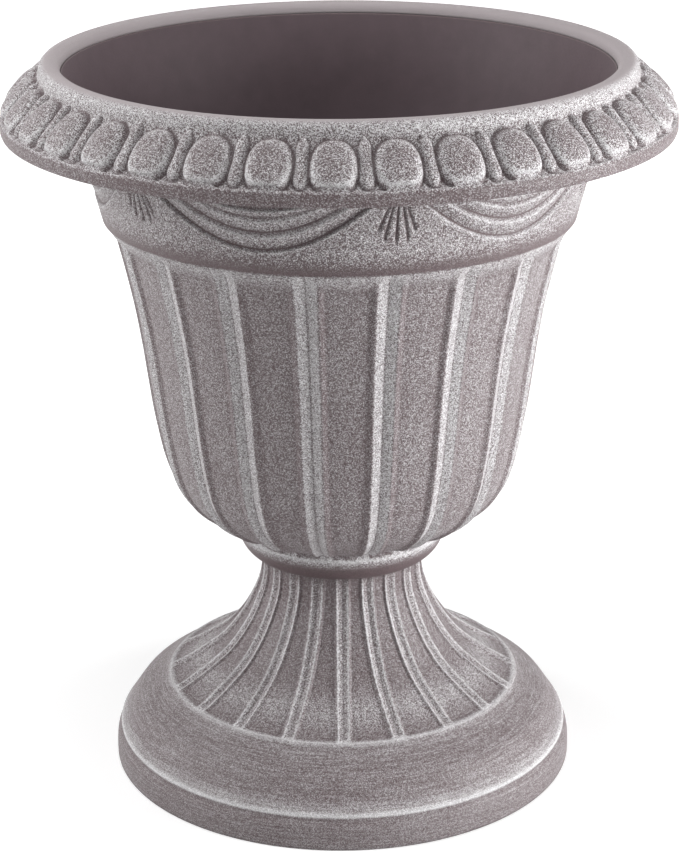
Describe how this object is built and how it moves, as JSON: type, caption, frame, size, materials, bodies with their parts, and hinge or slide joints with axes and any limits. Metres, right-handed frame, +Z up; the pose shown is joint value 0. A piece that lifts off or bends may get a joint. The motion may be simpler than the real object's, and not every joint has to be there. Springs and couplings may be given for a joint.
{
  "type": "urn planter",
  "caption": "Classic garden urn planter: flared bowl with egg-moulded rim, swagged frieze and ribbed body, twist-locked on a ribbed stem with a round foot; drain plug in the floor.",
  "frame": {"origin": "centre of the foot's resting face, on the ground", "axes": "+Z up along the urn's axis, -Y towards the pictured front, +X to the right seen from the front"},
  "size_m": [0.4064, 0.4064, 0.4572],
  "materials": {
    "bowl_plastic": "whitewashed matt, with fine speckle",
    "pedestal_plastic": "whitewashed matt, with fine speckle",
    "plug_plastic": "plain matt"
  },
  "bodies": {
    "pedestal": {"pedestal": "pedestal_plastic"},
    "bowl": {"bowl": "bowl_plastic"},
    "drain_plug": {"drain_plug": "plug_plastic"}
  },
  "joints": [
    {"name": "bowl_twist", "type": "hinge", "parent": "pedestal", "child": "bowl", "pos_m": [0, 0, 0.1576], "axis": [0, 0, 1], "range_deg": [0, 60]},
    {"name": "plug_pull", "type": "slide", "parent": "bowl", "child": "drain_plug", "axis": [0, 0, 1], "range_m": [0, 0.03]}
  ]
}
